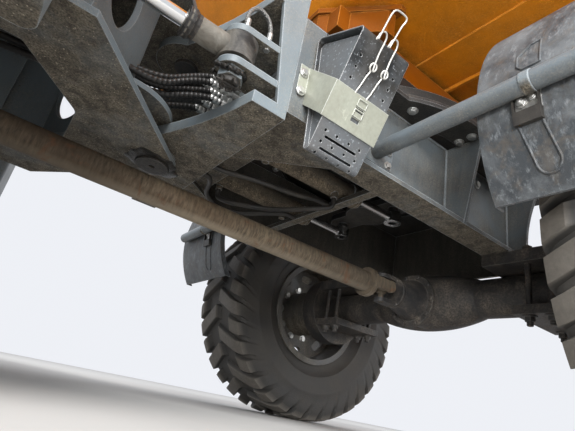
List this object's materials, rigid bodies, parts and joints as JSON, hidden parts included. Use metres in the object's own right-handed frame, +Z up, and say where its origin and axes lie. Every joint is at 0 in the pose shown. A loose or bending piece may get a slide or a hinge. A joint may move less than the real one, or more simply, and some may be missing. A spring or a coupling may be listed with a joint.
{
  "type": "swivel-skip site dumper",
  "caption": "Four-wheel site dumper with a turning, tipping skip in front of a centre steering pivot, and an open driver's seat under a roll hoop.",
  "frame": {"origin": "on the ground under the middle of the machine's length and width", "axes": "+X forward to the skip, +Y to the driver's left, +Z up"},
  "size_m": [4.452, 2.17, 2.78],
  "materials": {
    "frame_paint": "satin blue-grey paint, dusty",
    "skip_paint": "satin orange-yellow paint, scratched",
    "axle_iron": "dusty black paint on castings",
    "shaft_steel": "surface rust and dust",
    "bright_steel": "machined or zinc-plated steel",
    "rod_chrome": "hard chrome",
    "zinc_sheet": "yellowish zinc plate",
    "galvanised": "dull galvanised sheet",
    "tyre_rubber": "worn, dusty tread",
    "hose_rubber": "black hose, dusty",
    "rim_paint": "grey paint, dusty",
    "black_plastic": "faded moulded plastic",
    "engine_paint": "plain engine enamel",
    "seat_vinyl": "black vinyl",
    "lamp_lens": "moulded lens"
  },
  "bodies": {
    "root": {"front_rails": "frame_paint", "front_deck": "frame_paint", "front_crossmembers": "frame_paint", "pivot_bracket": "frame_paint", "front_axle": "axle_iron", "front_axle_clamps": "axle_iron", "slew_ring": "axle_iron", "slew_barrels": "axle_iron", "front_hoses": "hose_rubber", "mudguard_tubes": "frame_paint", "front_mudguards": "black_plastic", "chock_holder": "zinc_sheet", "wheel_chock": "galvanised"},
    "turntable": {"turntable": "frame_paint", "skip_arms": "skip_paint"},
    "skip": {"skip": "skip_paint"},
    "tip_barrels": {"tip_barrels": "frame_paint"},
    "tip_rods": {"tip_rods": "rod_chrome"},
    "slew_rod_left": {"slew_rod_left": "rod_chrome"},
    "slew_rod_right": {"slew_rod_right": "rod_chrome"},
    "engine_half": {"rear_frame": "frame_paint", "pivot_pins": "bright_steel", "rear_axle": "axle_iron", "rear_axle_clamps": "axle_iron", "engine": "engine_paint", "fuel_tank": "frame_paint", "hydraulic_tank": "frame_paint", "platform": "frame_paint", "console": "black_plastic", "steering_wheel": "black_plastic", "seat": "seat_vinyl", "rops_hoop": "frame_paint", "engine_cover": "skip_paint", "counterweight": "frame_paint", "rear_mudguards": "black_plastic", "headlamps": "lamp_lens", "tail_lamps": "lamp_lens", "steer_barrel_left": "frame_paint", "steer_barrel_right": "frame_paint"},
    "bonnet": {"bonnet": "skip_paint"},
    "propshaft_tube": {"propshaft_tube": "shaft_steel"},
    "propshaft_yoke": {"propshaft_yoke": "shaft_steel"},
    "steer_rod_left": {"steer_rod_left": "rod_chrome"},
    "wheel_front_left": {"tyre_front_left": "tyre_rubber", "rim_front_left": "rim_paint"},
    "wheel_rear_left": {"tyre_rear_left": "tyre_rubber", "rim_rear_left": "rim_paint"},
    "steer_rod_right": {"steer_rod_right": "rod_chrome"},
    "wheel_front_right": {"tyre_front_right": "tyre_rubber", "rim_front_right": "rim_paint"},
    "wheel_rear_right": {"tyre_rear_right": "tyre_rubber", "rim_rear_right": "rim_paint"}
  },
  "joints": [
    {"name": "steer", "type": "hinge", "parent": "root", "child": "engine_half", "pos_m": [-0.226, 0, 0.6], "axis": [0, 0, 1], "range_deg": [-33, 33]},
    {"name": "swivel", "type": "hinge", "parent": "root", "child": "turntable", "pos_m": [0.606, 0, 1.0093], "axis": [0, 0, 1], "range_deg": [-90, 90]},
    {"name": "tip", "type": "hinge", "parent": "turntable", "child": "skip", "pos_m": [1.526, 0, 1.165], "axis": [0, 1, 0], "range_deg": [0, 55]},
    {"name": "tip_barrel_swing", "type": "hinge", "parent": "turntable", "child": "tip_barrels", "pos_m": [0.076, 0, 1.075], "axis": [0, 1, 0], "range_deg": [-16.58, 0]},
    {"name": "tip_rod_slide", "type": "slide", "parent": "tip_barrels", "child": "tip_rods", "axis": [0.9947, 0, 0.1025], "range_m": [0, 0.3048]},
    {"name": "bonnet_hinge", "type": "hinge", "parent": "engine_half", "child": "bonnet", "pos_m": [-2.17, 0, 1.3053], "axis": [0, -1, 0], "range_deg": [0, 65]},
    {"name": "propshaft_front", "type": "hinge", "parent": "root", "child": "propshaft_tube", "pos_m": [0.726, 0, 0.523], "axis": [0, 0, 1], "range_deg": [-13.8, 13.8]},
    {"name": "propshaft_rear", "type": "hinge", "parent": "engine_half", "child": "propshaft_yoke", "pos_m": [-0.916, 0, 0.523], "axis": [0, 0, 1], "range_deg": [-19.3, 19.3]},
    {"name": "steer_rod_left_slide", "type": "slide", "parent": "engine_half", "child": "steer_rod_left", "axis": [1, 0, 0], "range_m": [-0.2045, 0.2045]},
    {"name": "slew_rod_left_slide", "type": "slide", "parent": "root", "child": "slew_rod_left", "axis": [1, 0, 0], "range_m": [-0.1351, 0.1351]},
    {"name": "wheel_front_left_spin", "type": "hinge", "parent": "root", "child": "wheel_front_left", "pos_m": [1.026, 0.885, 0.545], "axis": [0, 1, 0], "continuous": true},
    {"name": "wheel_rear_left_spin", "type": "hinge", "parent": "engine_half", "child": "wheel_rear_left", "pos_m": [-1.376, 0.885, 0.545], "axis": [0, 1, 0], "continuous": true},
    {"name": "steer_rod_right_slide", "type": "slide", "parent": "engine_half", "child": "steer_rod_right", "axis": [1, 0, 0], "range_m": [-0.2045, 0.2045]},
    {"name": "slew_rod_right_slide", "type": "slide", "parent": "root", "child": "slew_rod_right", "axis": [1, 0, 0], "range_m": [-0.1351, 0.1351]},
    {"name": "wheel_front_right_spin", "type": "hinge", "parent": "root", "child": "wheel_front_right", "pos_m": [1.026, -0.885, 0.545], "axis": [0, 1, 0], "continuous": true},
    {"name": "wheel_rear_right_spin", "type": "hinge", "parent": "engine_half", "child": "wheel_rear_right", "pos_m": [-1.376, -0.885, 0.545], "axis": [0, 1, 0], "continuous": true}
  ],
  "couplings": [
    {"joint": "tip_barrel_swing", "follows": "tip", "ratio": -0.30129},
    {"joint": "tip_rod_slide", "follows": "tip", "m_per_rad": 0.31752},
    {"joint": "propshaft_front", "follows": "steer", "ratio": 0.418},
    {"joint": "propshaft_rear", "follows": "steer", "ratio": -0.582},
    {"joint": "steer_rod_left_slide", "follows": "steer", "m_per_rad": 0.35489},
    {"joint": "slew_rod_left_slide", "follows": "swivel", "m_per_rad": -0.085944},
    {"joint": "steer_rod_right_slide", "follows": "steer", "m_per_rad": -0.35489},
    {"joint": "slew_rod_right_slide", "follows": "swivel", "m_per_rad": 0.085944}
  ]
}
